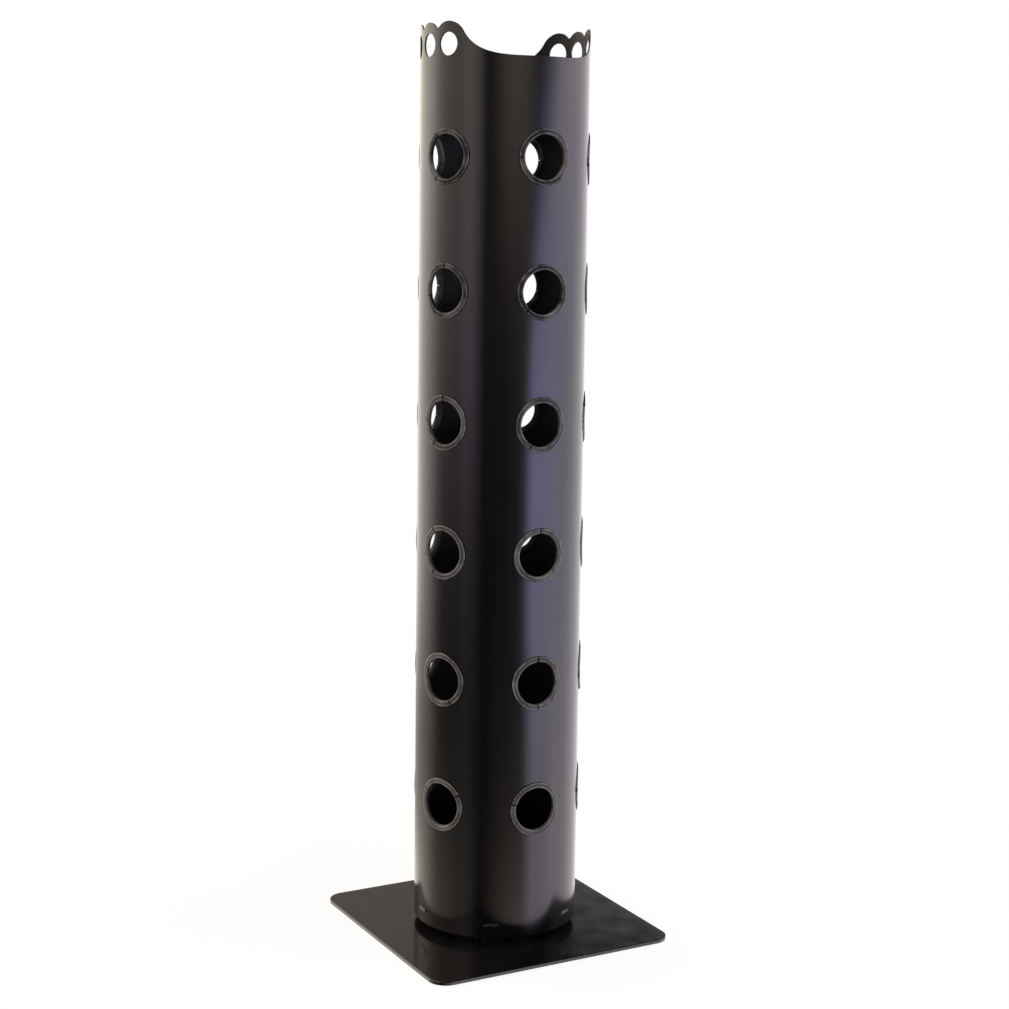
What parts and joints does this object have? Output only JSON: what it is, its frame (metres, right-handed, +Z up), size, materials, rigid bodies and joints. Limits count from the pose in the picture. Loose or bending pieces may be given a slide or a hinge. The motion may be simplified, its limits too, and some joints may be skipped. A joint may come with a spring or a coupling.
{
  "type": "vertical planter",
  "caption": "Tall tubular steel tower planter with rubber-trimmed side planting holes in level rows, scalloped pierced ears at the rim and a square base plate.",
  "frame": {"origin": "centre of the base plate's underside, on the floor", "axes": "+Z up along the tube's axis, -Y towards the front column of planting holes, ears on +X and -X"},
  "size_m": [0.305, 0.305, 1.037],
  "materials": {
    "painted_steel": "satin",
    "trim_rubber": "matte",
    "zinc_steel": "zinc plated"
  },
  "bodies": {
    "root": {"tower_tube": "painted_steel", "seam_weld": "painted_steel", "floor_disc": "painted_steel", "base_plate": "painted_steel", "base_screws": "zinc_steel", "base_spacers": "zinc_steel", "base_washers": "zinc_steel", "base_nuts": "zinc_steel", "hole_trim_r1_c1": "trim_rubber", "hole_trim_r1_c2": "trim_rubber", "hole_trim_r1_c3": "trim_rubber", "hole_trim_r1_c4": "trim_rubber", "hole_trim_r1_c5": "trim_rubber", "hole_trim_r2_c1": "trim_rubber", "hole_trim_r2_c2": "trim_rubber", "hole_trim_r2_c3": "trim_rubber", "hole_trim_r2_c4": "trim_rubber", "hole_trim_r2_c5": "trim_rubber", "hole_trim_r3_c1": "trim_rubber", "hole_trim_r3_c2": "trim_rubber", "hole_trim_r3_c3": "trim_rubber", "hole_trim_r3_c4": "trim_rubber", "hole_trim_r3_c5": "trim_rubber", "hole_trim_r4_c1": "trim_rubber", "hole_trim_r4_c2": "trim_rubber", "hole_trim_r4_c3": "trim_rubber", "hole_trim_r4_c4": "trim_rubber", "hole_trim_r4_c5": "trim_rubber", "hole_trim_r5_c1": "trim_rubber", "hole_trim_r5_c2": "trim_rubber", "hole_trim_r5_c3": "trim_rubber", "hole_trim_r5_c4": "trim_rubber", "hole_trim_r5_c5": "trim_rubber", "hole_trim_r6_c1": "trim_rubber", "hole_trim_r6_c2": "trim_rubber", "hole_trim_r6_c3": "trim_rubber", "hole_trim_r6_c4": "trim_rubber", "hole_trim_r6_c5": "trim_rubber"}
  },
  "joints": []
}
